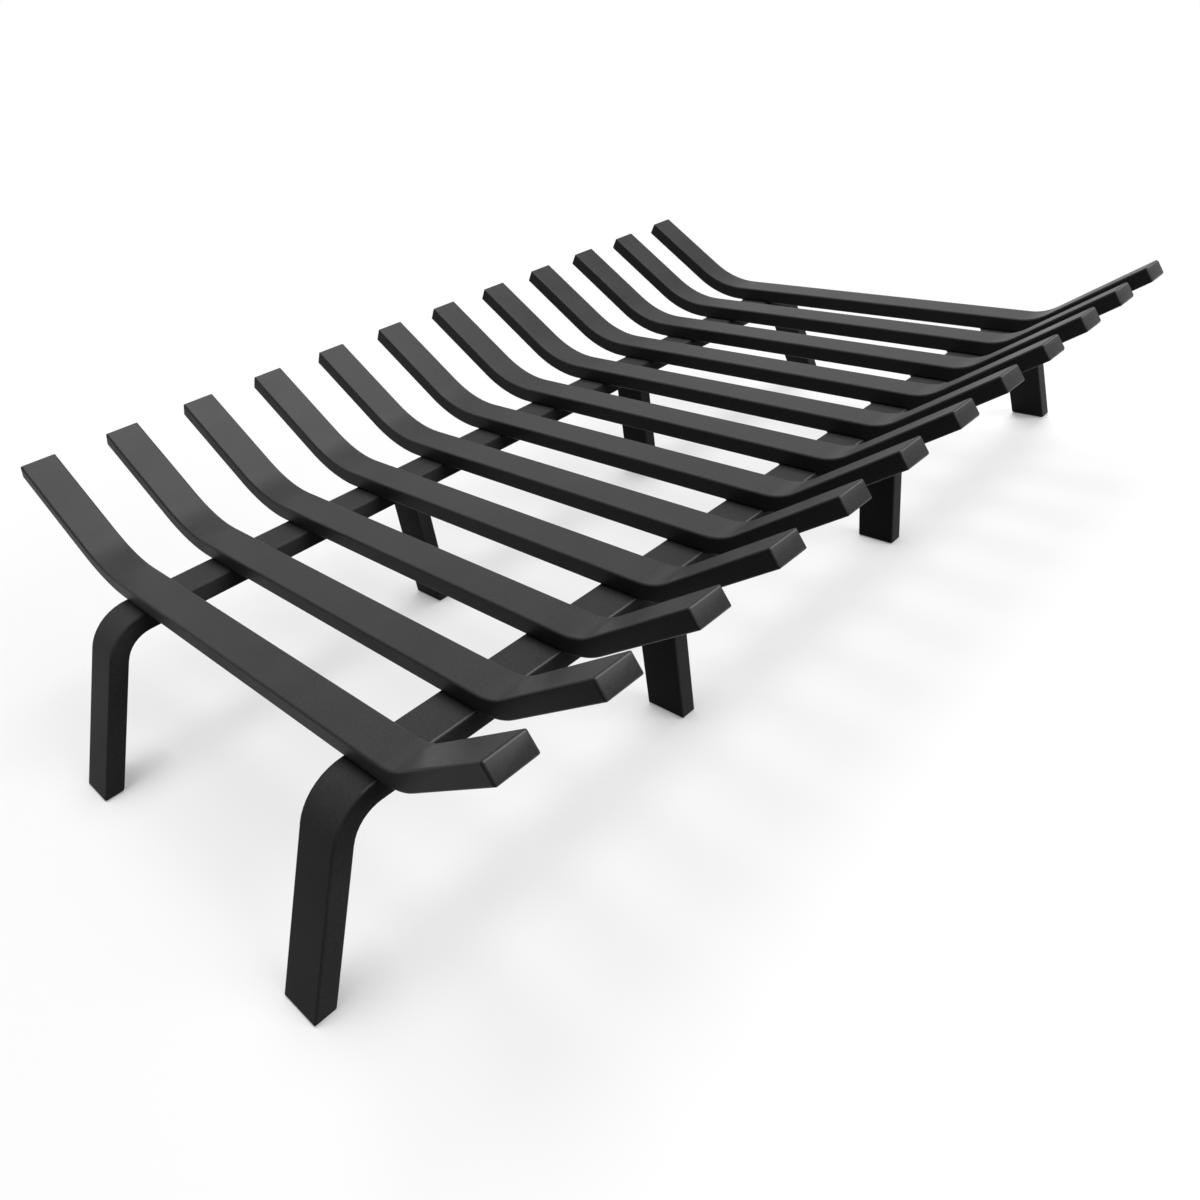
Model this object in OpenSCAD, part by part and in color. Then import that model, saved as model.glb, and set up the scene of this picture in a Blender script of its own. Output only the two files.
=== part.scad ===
// Log grate for a fireplace.
// Twelve flat-bar crossbars, turned up at both ends to cradle the logs, lie on
// two long rails. Each rail is one bar, bent down at both ends into splayed
// legs, with two straight legs butted under it. Everything is fillet welded.
// +X runs along the rails, -Y is the front, and the feet stand on Z = 0.

/* [Crossbars] */
// Number of crossbars
bar_count = 12; // [6:1:16]
// Distance between neighbouring crossbars, centre to centre
bar_pitch = 50; // [40:1:65]
// Width of a crossbar
bar_w = 20; // [14:1:26]
// Thickness of a crossbar
bar_t = 10; // [6:0.5:14]
// Radius along the long edges of a crossbar
bar_edge_r = 1.2; // [0.6:0.1:2.6]

/* [Crossbar ends] */
// Flat run of a crossbar past the front rail, before its bend starts
front_run = 1; // [0:0.5:20]
// Inside radius of the front bend
front_bend_r = 35; // [15:1:80]
// Angle that the front end rises at
front_angle = 32; // [15:1:50]
// Straight length of the front end, past its bend
front_arm = 68; // [25:1:90]
// Flat run of a crossbar past the back rail, before its bend starts
back_run = 1; // [0:0.5:20]
// Inside radius of the back bend
back_bend_r = 70; // [15:1:110]
// Angle that the back end rises at
back_angle = 34; // [15:1:50]
// Straight length of the back end, past its bend
back_arm = 64; // [25:1:110]

/* [Rails] */
// Distance between the two rails, centre to centre
rail_spacing = 212; // [140:1:260]
// Width of a rail, and of a middle leg, which is cut from the same bar
rail_w = 25; // [14:1:32]
// Thickness of a rail and of a middle leg
rail_t = 10; // [6:0.5:14]
// Radius along the long edges of a rail and of a middle leg
rail_edge_r = 1.2; // [0.6:0.1:2.6]
// Height of the rails' top face, where the crossbars lie
seat_h = 90; // [75:1:130]
// Flat run of a rail past the end crossbar, before its bend starts
rail_run = 0.5; // [0:0.5:20]
// Inside radius of the bend between a rail and its end leg
rail_bend_r = 18; // [12:1:40]
// Angle that an end leg splays outwards at, from upright
splay = 24; // [0:1:25]

/* [Middle legs] */
// Distance between the two middle legs of a rail, centre to centre
leg_spacing = 215; // [120:1:260]

/* [Cut ends] */
// Chamfer round the cut ends of the crossbars
tip_chamfer = 1.2; // [0.4:0.1:2]
// Chamfer round the bottom of each foot
foot_chamfer = 1.4; // [0.4:0.1:2]

/* [Welds] */
// Leg size of the fillet weld between a crossbar and a rail
seat_weld = 3.5; // [2:0.5:5]
// Leg size of the fillet weld between a middle leg and its rail
leg_weld = 4; // [2:0.5:5]
// How far a weld stops short of the rounded edges at both its ends
weld_margin = 0.7; // [0.2:0.1:1.2]

/* [Hidden] */
// Segments of a full circle, on bends and on small edges
bend_fn = 96;
edge_fn = 24;
weld_fn = 20;
// Length by which a cutting shape passes what it cuts
over = 5;
// A straight end starts this far inside the bend before it, and is this much
// slimmer on every face, so that no face of the two nearly touches another
lap = 0.5;
slim = 0.05;

coat = "#2f2f31";

// Crossbars: half the length that they cover, and their flat part
bars_half = (bar_count - 1) * bar_pitch / 2 + bar_w / 2;
front_flat = rail_spacing / 2 + rail_w / 2 + front_run;
back_flat = rail_spacing / 2 + rail_w / 2 + back_run;
bar_flat = front_flat + back_flat;

// How far a cut end reaches past the rails' middle, at its chamfered lower corner
function reach(flat, r, angle, arm) =
    flat
    + (r + bar_t - slim) * sin(angle)
    + arm * cos(angle)
    - tip_chamfer * min(sin(angle), cos(angle));
front_reach = reach(front_flat, front_bend_r, front_angle, front_arm);
back_reach = reach(back_flat, back_bend_r, back_angle, back_arm);
// Place of the rails' middle, which puts the grate's middle at Y = 0
rails_y = (front_reach - back_reach) / 2;

// Rails: flat half length, and the straight leg that reaches below the floor
rail_half = bars_half + rail_run;
rail_turn = 90 - splay;
rail_drop = rail_t + rail_bend_r * (1 - cos(rail_turn));
rail_end = [
    rail_bend_r,
    rail_turn,
    (seat_h - rail_drop + rail_t * sin(splay)) / cos(splay) + over
];
foot_reach = rail_half
    + (rail_bend_r + rail_t) * tan(rail_turn / 2)
    + seat_h * tan(splay);
foot_inner = foot_reach - rail_t / cos(splay);
leg_h = seat_h - rail_t;

// Welds: their lengths, and how far they reach in above a rail's rounded edge
seat_weld_len = bar_w - 2 * bar_edge_r - 2 * weld_margin;
leg_weld_len = rail_w - 2 * rail_edge_r - 2 * weld_margin;
seat_root = 2 / 3 * rail_edge_r;

function bar_name(i) = str("crossbar_", i < 10 ? "0" : "", i);
function bar_x(i) = (i - (bar_count + 1) / 2) * bar_pitch;

RAIL_SIDES = [["front_rail", -1], ["back_rail", 1]];
LEG_PLACES = [
    ["front_left_leg", -1, -1],
    ["front_right_leg", 1, -1],
    ["back_left_leg", -1, 1],
    ["back_right_leg", 1, 1]
];
WELD_SIDES = [["front_rail_welds", -1], ["back_rail_welds", 1]];

// Section of flat bar with rounded long edges: w across, t thick
module bar_section(w, t, r) {
    square([w, t - 2 * r], center = true);
    square([w - 2 * r, t], center = true);
    for (x = [-1, 1], y = [-1, 1])
        translate([x * (w / 2 - r), y * (t / 2 - r)])
            circle(r, $fn = edge_fn);
}

// Straight bar, middle of its underside on the origin, running along -Y
module straight(w, t, r, len) {
    translate([0, 0, t / 2])
        rotate([90, 0, 0])
            linear_extrude(len)
                bar_section(w, t, r);
}

// Room that a cut end along -Y keeps inside its chamfers, from y = over to -len
module chamfered_room(w, depth, len, c) {
    side = w / 2 + over;
    linear_extrude(depth, center = true)
        polygon([
            [side, over],
            [side, -len + c + over],
            [w / 2 - c, -len],
            [c - w / 2, -len],
            [-side, -len + c + over],
            [-side, over]
        ]);
}

// Straight bar whose far end is cut square and chamfered all round
module cut_bar(w, t, r, len, c) {
    intersection() {
        straight(w, t, r, len);
        chamfered_room(w, 2 * t + over, len, c);
        translate([0, 0, t / 2])
            rotate([0, 90, 0])
                chamfered_room(t, w + over, len, c);
    }
}

// End of a bar that bends up from the origin along -Y, as [inside radius of the
// bend, its angle, straight length after it]
module bent_end(w, t, r, end, c) {
    pivot = t + end[0];
    translate([0, 0, pivot])
        rotate([0, 90, 180])
            rotate_extrude(angle = end[1], $fn = bend_fn)
                translate([end[0] + t / 2, 0])
                    bar_section(t, w, r);
    translate([0, 0, pivot])
        rotate([-end[1], 0, 0])
            translate([0, lap, slim - pivot])
                cut_bar(w - 2 * slim, t - 2 * slim, r, end[2] + lap, c);
}

// Bar with both its ends bent up, and its flat part from the origin along +Y
module bent_bar(w, t, r, flat, first_end, last_end, c) {
    bent_end(w, t, r, first_end, c);
    rotate([0, 0, 180])
        straight(w, t, r, flat);
    translate([0, flat, 0])
        rotate([0, 0, 180])
            bent_end(w, t, r, last_end, c);
}

// Crossbar number i, counted from the left end
module crossbar(i) {
    color(coat)
        translate([bar_x(i), rails_y - front_flat, seat_h])
            bent_bar(
                bar_w,
                bar_t,
                bar_edge_r,
                bar_flat,
                [front_bend_r, front_angle, front_arm],
                [back_bend_r, back_angle, back_arm],
                tip_chamfer
            );
}

// Room above the floor, chamfered in to the feet of a rail seen from the front
module rail_room() {
    c = foot_chamfer;
    side = foot_reach + over;
    rotate([90, 0, 0])
        linear_extrude(rail_w + over, center = true)
            polygon([
                [foot_reach - c, 0],
                [side, c + over],
                [side, seat_h + over],
                [-side, seat_h + over],
                [-side, c + over],
                [c - foot_reach, 0],
                [-foot_inner - c, 0],
                [over - foot_inner - c, over],
                [foot_inner + c - over, over],
                [foot_inner + c, 0]
            ]);
}

// Rail with both its end legs, on the front (-1) or the back (1)
module rail(side) {
    color(coat)
        translate([0, rails_y + side * rail_spacing / 2, 0])
            intersection() {
                translate([rail_half, 0, seat_h])
                    rotate([0, 180, 90])
                        bent_bar(
                            rail_w,
                            rail_t,
                            rail_edge_r,
                            2 * rail_half,
                            rail_end,
                            rail_end,
                            foot_chamfer
                        );
                rail_room();
                translate([0, 0, seat_h])
                    rotate([90, 0, 90])
                        chamfered_room(rail_w, 2 * foot_reach + over, seat_h, foot_chamfer);
            }
}

// Straight leg under a rail, with its wide faces towards the ends of the grate
module middle_leg(x_side, y_side) {
    color(coat)
        translate([x_side * leg_spacing / 2, rails_y + y_side * rail_spacing / 2, leg_h])
            rotate([90, 0, 90])
                translate([0, 0, -rail_t / 2])
                    cut_bar(rail_w, rail_t, rail_edge_r, leg_h, foot_chamfer);
}

// Weld bead along X with round ends, filling the corner below z = 0 and beyond
// y = -root
module bead(leg, len, root) {
    body = len - 2 * leg;
    intersection() {
        union() {
            rotate([0, 90, 0])
                cylinder(r = leg, h = body, center = true, $fn = weld_fn);
            for (end = [-1, 1])
                translate([end * body / 2, 0, 0])
                    sphere(leg, $fn = weld_fn);
        }
        translate([-len / 2, -root, -2 * leg])
            cube([len, root + 2 * leg, 2 * leg]);
    }
}

// Welds between the crossbars and one rail, on both sides of the rail, which
// also fill the grooves along the rail's rounded edges
module rail_welds(side) {
    color(coat)
        translate([0, rails_y + side * rail_spacing / 2, seat_h])
            difference() {
                for (i = [1:bar_count], turn = [0, 180])
                    translate([bar_x(i), 0, 0])
                        rotate([0, 0, turn])
                            translate([0, rail_w / 2, 0])
                                bead(seat_weld, seat_weld_len, seat_root);
                translate([-rail_half, 0, -rail_t])
                    rotate([0, 0, 90])
                        straight(rail_w, rail_t, rail_edge_r, 2 * rail_half);
            }
}

// Welds between the middle legs and their rails, on both wide faces of each leg
module leg_welds() {
    color(coat)
        for (leg = LEG_PLACES, turn = [90, -90])
            translate([leg[1] * leg_spacing / 2, rails_y + leg[2] * rail_spacing / 2, leg_h])
                rotate([0, 0, turn])
                    translate([0, rail_t / 2, 0])
                        bead(leg_weld, leg_weld_len, 0);
}

for (i = [1:bar_count])
    crossbar(i);
for (side = RAIL_SIDES)
    rail(side[1]);
for (leg = LEG_PLACES)
    middle_leg(leg[1], leg[2]);
for (side = WELD_SIDES)
    rail_welds(side[1]);
leg_welds();
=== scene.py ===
"""Looks of a welded log grate: its black powder coat, a pale studio floor, soft
lamps and the camera. Every length is in metres, in the frame of the CAD model."""

from math import radians

import bpy
from mathutils import Matrix, Vector

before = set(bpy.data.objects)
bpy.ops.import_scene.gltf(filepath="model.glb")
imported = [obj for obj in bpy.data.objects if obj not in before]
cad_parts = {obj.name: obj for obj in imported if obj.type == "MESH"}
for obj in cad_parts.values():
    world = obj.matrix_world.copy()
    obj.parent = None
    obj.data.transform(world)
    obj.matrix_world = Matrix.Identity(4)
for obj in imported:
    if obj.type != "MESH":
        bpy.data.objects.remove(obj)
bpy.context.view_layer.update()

# Camera: its place, which way it looks from straight along +Y, how far down, its
# turn about its own axis, its focal length and the photograph's width in pixels,
# its sensor in millimetres, and the nearest that it sees
CAMERA_PLACE = Vector((-0.40273, -0.40307, 0.33697))
CAMERA_AZIMUTH = radians(-41.507)
CAMERA_DOWN = radians(32.441)
CAMERA_ROLL = radians(-8.837)
FOCAL_PIXELS = 970.93
IMAGE_PIXELS = 1200
SENSOR = 36.0
CLIP_START = 0.01

# World: its colour, and how strongly it lights the grate
WHITE = (1.0, 1.0, 1.0, 1.0)
AMBIENT = 0.06

# Floor: its side, its colour as seen and as it lights the grate, the share of
# plain white in what is seen of it, and how far from the middle it starts and ends
# to fade out into white
FLOOR_SIZE = 12.0
FLOOR_COLOR = (0.74, 0.74, 0.74, 1.0)
FLOOR_BOUNCE = (0.1, 0.1, 0.1, 1.0)
FLOOR_GLOW = 0.65
FADE = (0.38, 0.66)

# Shadow round the feet: how far it reaches, how open the floor is from its dark
# middle to its rim, and what it leaves of the plain white there
FOOT_REACH = 0.03
FOOT_OPEN = (0.5, 1.0)
FOOT_GLOW = (0.4, 1.0)
FOOT_SAMPLES = 4

# Lamps, as [name, place, tilt from straight down and turn in degrees, sides, watts]
LAMPS = [
    ["overhead", (0.4, 0.25, 1.9), (0.0, 0.0), (1.5, 1.0), 47.0],
    ["side", (0.5, -1.8, 1.3), (54.0, 15.5), (1.6, 0.8), 38.0],
]

# Powder coat of each kind of piece: base grey, roughness of most faces and of the
# side faces, which look along the rails, specular level and place in the noise
COATS = {
    "crossbar_coat": [0.029, (0.38, 0.5), 0.07, 0.0],
    "rail_coat": [0.03, (0.5, 0.5), 0.035, 3.0],
    "leg_coat": [0.03, (0.5, 0.5), 0.03, 5.0],
    "weld_coat": [0.03, (0.6, 0.6), 0.04, 9.0],
}

# Blue in the coat against its red and green, and the band in which the part of the
# normal along the rails makes a face a side face
BLUE_SHARE = 1.03
SIDE_FACE = (0.6, 0.9)

# Noise in the coat, as scale and detail: broad mottle, orange peel, fine speckle
MOTTLE = (30.0, 4.0)
PEEL = (260.0, 2.0)
SPECKLE = (800.0, 2.0)

# The band of the noise in use, and the shade and roughness it gives across it
NOISE_BAND = (0.3, 0.7)
MOTTLE_SHADE = (0.93, 1.07)
SPECKLE_SHADE = (-0.1, 0.1)
MOTTLE_ROUGH = (-0.03, 0.03)
SPECKLE_ROUGH = (-0.02, 0.02)

# Relief of the coat: the peel's height against the speckle's, strength and depth
PEEL_HEIGHT = 2.0
BUMP_STRENGTH = 0.22
BUMP_DEPTH = 0.00006

# Edges, lighter with a painted highlight and smoother with wear: the radius within
# which an edge counts, how well the bevelled normal agrees with the plain one on a
# flat face and on an edge, the band of mottle that makes this patchy and its share
# there, the painted highlight it adds to the shade and what it takes off the roughness
EDGE_REACH = 0.0012
EDGE_SAMPLES = 6
EDGE_TURN = (1.0, 0.9)
PATCH_BAND = (0.35, 0.65)
PATCH_SHARE = (0.4, 1.0)
EDGE_HIGHLIGHT = 0.8
EDGE_ROUGH = -0.08

# Painted highlight along the upper edges that face outwards at the front and the
# back: the parts of the normal outwards, upwards and along the rails, from none to
# the full painted highlight, and how much it lightens the shade
HIGHLIGHT_OUTWARDS = (0.02, 0.2)
HIGHLIGHT_UPWARDS = (0.55, 0.85)
HIGHLIGHT_ALONG = (0.3, 0.05)
HIGHLIGHT_SHADE = 1.9

# Shading of the CAD meshes: vertices closer than this are shaded as one, and how
# much more a large face counts than a small one
WELD_REACH = 0.00008
NORMAL_WEIGHT = 100


class Nodes:
    """Short calls to add and join the nodes of one material or world."""

    def __init__(self, owner, output="OutputMaterial"):
        owner.use_nodes = True
        self.owner = owner
        self.tree = owner.node_tree
        self.tree.nodes.clear()
        self.surface = self.add(output).inputs["Surface"]

    def add(self, kind, inputs=(), **settings):
        """Adds a node with its inputs, each a value or another node's output."""
        node = self.tree.nodes.new("ShaderNode" + kind)
        for key, value in settings.items():
            setattr(node, key, value)
        for socket, value in dict(inputs).items():
            self.give(node.inputs[socket], value)
        return node

    def give(self, socket, value):
        """Joins another node's output to the socket, or sets the socket's value."""
        if isinstance(value, bpy.types.NodeSocket):
            self.tree.links.new(value, socket)
        else:
            socket.default_value = value

    def close(self, shader):
        """Ends the tree with this shader."""
        self.give(self.surface, shader)
        return self.owner

    def math(self, operation, *values):
        """The result of one operation on values or other nodes' outputs."""
        node = self.add("Math", operation=operation)
        for socket, value in zip(node.inputs, values):
            self.give(socket, value)
        return node.outputs[0]

    def spread(self, value, band, levels=(0.0, 1.0)):
        """Goes smoothly from the first level to the second across the band."""
        inputs = {
            "Value": value,
            "From Min": band[0],
            "From Max": band[1],
            "To Min": levels[0],
            "To Max": levels[1],
        }
        return self.add("MapRange", inputs, interpolation_type="SMOOTHSTEP").outputs[0]

    def normal(self):
        """The three parts of the normal."""
        normal = self.add("NewGeometry").outputs["Normal"]
        return self.add("SeparateXYZ", {0: normal}).outputs

    def seen(self):
        """1 on the rays that show a surface or a reflection of it, else 0."""
        rays = self.add("LightPath").outputs
        mirrored = self.math("MAXIMUM", rays["Is Glossy Ray"], rays["Is Transmission Ray"])
        return self.math("MAXIMUM", rays["Is Camera Ray"], mirrored)


def edge_mask(n):
    """1 along the edges of a bar and 0 on its flat faces."""
    rounded = n.add("Bevel", {"Radius": EDGE_REACH}, samples=EDGE_SAMPLES).outputs[0]
    plain = n.add("NewGeometry").outputs["Normal"]
    agree = n.add("VectorMath", {0: rounded, 1: plain}, operation="DOT_PRODUCT")
    return n.spread(agree.outputs["Value"], EDGE_TURN)


def painted_highlight_mask(n, place):
    """1 along the upper edges that face outwards at the front and the back, where
    a painted highlight lightens the coat, and 0 elsewhere."""
    normal = n.normal()
    # Painted highlight goes where the normal faces upwards and outwards at either end
    end = n.math("SIGN", n.add("SeparateXYZ", {0: place}).outputs["Y"])
    outwards = n.spread(n.math("MULTIPLY", normal["Y"], end), HIGHLIGHT_OUTWARDS)
    upwards = n.spread(normal["Z"], HIGHLIGHT_UPWARDS)
    along = n.spread(n.math("ABSOLUTE", normal["X"]), HIGHLIGHT_ALONG)
    return n.math("MULTIPLY", n.math("MULTIPLY", outwards, upwards), along)


def grain(n, mottle, mottle_levels, speckle, speckle_levels):
    """The mottle and the speckle together, each at its own levels."""
    broad = n.spread(mottle, NOISE_BAND, mottle_levels)
    fine = n.spread(speckle, NOISE_BAND, speckle_levels)
    return n.math("ADD", broad, fine)


def coat_color(n, grey, mottle, speckle, edge, upper_highlight):
    """The base grey with its grain, lighter with a painted highlight along the edges and more
    along the upper outward edges.
    """
    # Painted highlight: the coat is lighter along the edges and lighter still along the upper
    # outward edges
    highlight_and_wear = n.math("MULTIPLY", edge, EDGE_HIGHLIGHT)
    highlight_and_wear = n.math("MULTIPLY_ADD", upper_highlight, HIGHLIGHT_SHADE, highlight_and_wear)
    shade = n.math("ADD", grain(n, mottle, MOTTLE_SHADE, speckle, SPECKLE_SHADE), highlight_and_wear)
    level = n.math("MULTIPLY", shade, grey)
    blue = n.math("MULTIPLY", level, BLUE_SHARE)
    return n.add("CombineColor", {"Red": level, "Green": level, "Blue": blue}).outputs[0]


def coat_roughness(n, roughness, mottle, speckle, edge):
    """The roughness of most and of side faces with its grain, less where worn."""
    along = n.math("ABSOLUTE", n.normal()["X"])
    face = n.spread(along, SIDE_FACE, roughness)
    highlight_and_wear = n.math("MULTIPLY_ADD", edge, EDGE_ROUGH, face)
    return n.math("ADD", grain(n, mottle, MOTTLE_ROUGH, speckle, SPECKLE_ROUGH), highlight_and_wear)


def coat_material(slot, grey, roughness, specular, seed):
    """Satin black powder coat: mottled, finely grained, smoother along the edges, with a
    painted highlight along them.
    """
    n = Nodes(bpy.data.materials.new(slot))
    place = n.add("TexCoord").outputs["Object"]
    moved = n.add("VectorMath", {0: place, 1: (seed, seed, seed)}, operation="ADD").outputs[0]

    def noise(scale, detail):
        inputs = {"Vector": moved, "Scale": scale, "Detail": detail}
        return n.add("TexNoise", inputs).outputs["Fac"]

    mottle, peel, speckle = noise(*MOTTLE), noise(*PEEL), noise(*SPECKLE)
    # Patchy edges: a painted highlight in the colour, and wear that lowers the roughness
    edge = n.math("MULTIPLY", edge_mask(n), n.spread(mottle, PATCH_BAND, PATCH_SHARE))
    height = n.math("MULTIPLY_ADD", peel, PEEL_HEIGHT, speckle)
    relief = {"Strength": BUMP_STRENGTH, "Distance": BUMP_DEPTH, "Height": height}
    inputs = {
        "Base Color": coat_color(n, grey, mottle, speckle, edge, painted_highlight_mask(n, place)),
        "Roughness": coat_roughness(n, roughness, mottle, speckle, edge),
        "Normal": n.add("Bump", relief).outputs[0],
        "Specular IOR Level": specular,
    }
    return n.close(n.add("BsdfPrincipled", inputs).outputs[0])


def floor_material():
    """Pale floor that keeps the shadows and fades into white further out."""
    n = Nodes(bpy.data.materials.new("floor"))
    place = n.add("TexCoord").outputs["Object"]
    distance = n.add("VectorMath", {0: place}, operation="LENGTH").outputs["Value"]
    occlusion = n.add("AmbientOcclusion", {"Distance": FOOT_REACH}, samples=FOOT_SAMPLES)
    by_foot = n.spread(occlusion.outputs["AO"], FOOT_OPEN, FOOT_GLOW)
    glow = n.math("MULTIPLY", n.spread(distance, FADE, (FLOOR_GLOW, 1.0)), by_foot)

    shaded = n.add("BsdfDiffuse", {"Color": FLOOR_COLOR}).outputs[0]
    white = n.add("Emission", {"Color": WHITE, "Strength": 1.0}).outputs[0]
    shown = n.add("MixShader", {0: glow, 1: shaded, 2: white}).outputs[0]
    bounce = n.add("BsdfDiffuse", {"Color": FLOOR_BOUNCE}).outputs[0]
    return n.close(n.add("MixShader", {0: n.seen(), 1: bounce, 2: shown}).outputs[0])


def set_world():
    """White where the camera or a reflection sees it, and dimmer as a light."""
    world = bpy.data.worlds.new("studio")
    bpy.context.scene.world = world
    n = Nodes(world, "OutputWorld")
    light = n.add("Background", {"Color": WHITE, "Strength": AMBIENT}).outputs[0]
    backdrop = n.add("Background", {"Color": WHITE, "Strength": 1.0}).outputs[0]
    n.close(n.add("MixShader", {0: n.seen(), 1: light, 2: backdrop}).outputs[0])


def add_lamp(name, place, angles, sides, watts):
    """Adds a soft elliptical lamp."""
    lamp = bpy.data.lights.new(name, "AREA")
    lamp.shape = "ELLIPSE"
    lamp.size, lamp.size_y = sides
    lamp.energy = watts
    holder = bpy.data.objects.new(name, lamp)
    holder.location = place
    holder.rotation_euler = (radians(angles[0]), 0.0, radians(angles[1]))
    bpy.context.scene.collection.objects.link(holder)


def add_floor():
    """Adds the floor as a square round the origin, at the feet's height."""
    half = FLOOR_SIZE / 2
    corners = [(-half, -half, 0), (half, -half, 0), (half, half, 0), (-half, half, 0)]
    mesh = bpy.data.meshes.new("floor")
    mesh.from_pydata(corners, [], [(0, 1, 2, 3)])
    mesh.materials.append(floor_material())
    floor = bpy.data.objects.new("floor", mesh)
    bpy.context.scene.collection.objects.link(floor)


def add_camera():
    """Adds the camera that sees the grate as the photograph does."""
    lens = bpy.data.cameras.new("camera")
    lens.sensor_width = SENSOR
    lens.lens = FOCAL_PIXELS / IMAGE_PIXELS * SENSOR
    lens.clip_start = CLIP_START
    camera = bpy.data.objects.new("camera", lens)
    camera.matrix_world = (
        Matrix.Translation(CAMERA_PLACE)
        @ Matrix.Rotation(CAMERA_AZIMUTH, 4, "Z")
        @ Matrix.Rotation(radians(90) - CAMERA_DOWN, 4, "X")
        @ Matrix.Rotation(CAMERA_ROLL, 4, "Z")
    )
    bpy.context.scene.collection.objects.link(camera)
    bpy.context.scene.camera = camera


def smooth_bends(node):
    """Shades flats, bends and rounded edges as one smooth surface."""
    weld = node.modifiers.new("weld", "WELD")
    weld.merge_threshold = WELD_REACH
    normals = node.modifiers.new("normals", "WEIGHTED_NORMAL")
    normals.mode = "FACE_AREA"
    normals.weight = NORMAL_WEIGHT


def slot_of(name):
    """The coat that a piece of this name wears."""
    if name.startswith("crossbar"):
        return "crossbar_coat"
    if name.endswith("_welds"):
        return "weld_coat"
    return "rail_coat" if name.endswith("_rail") else "leg_coat"


coats = {slot: coat_material(slot, *values) for slot, values in COATS.items()}
for name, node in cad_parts.items():
    node.data.materials.clear()
    node.data.materials.append(coats[slot_of(name)])
    smooth_bends(node)

set_world()
add_floor()
for lamp in LAMPS:
    add_lamp(*lamp)
add_camera()
bpy.context.scene.view_settings.view_transform = "Standard"
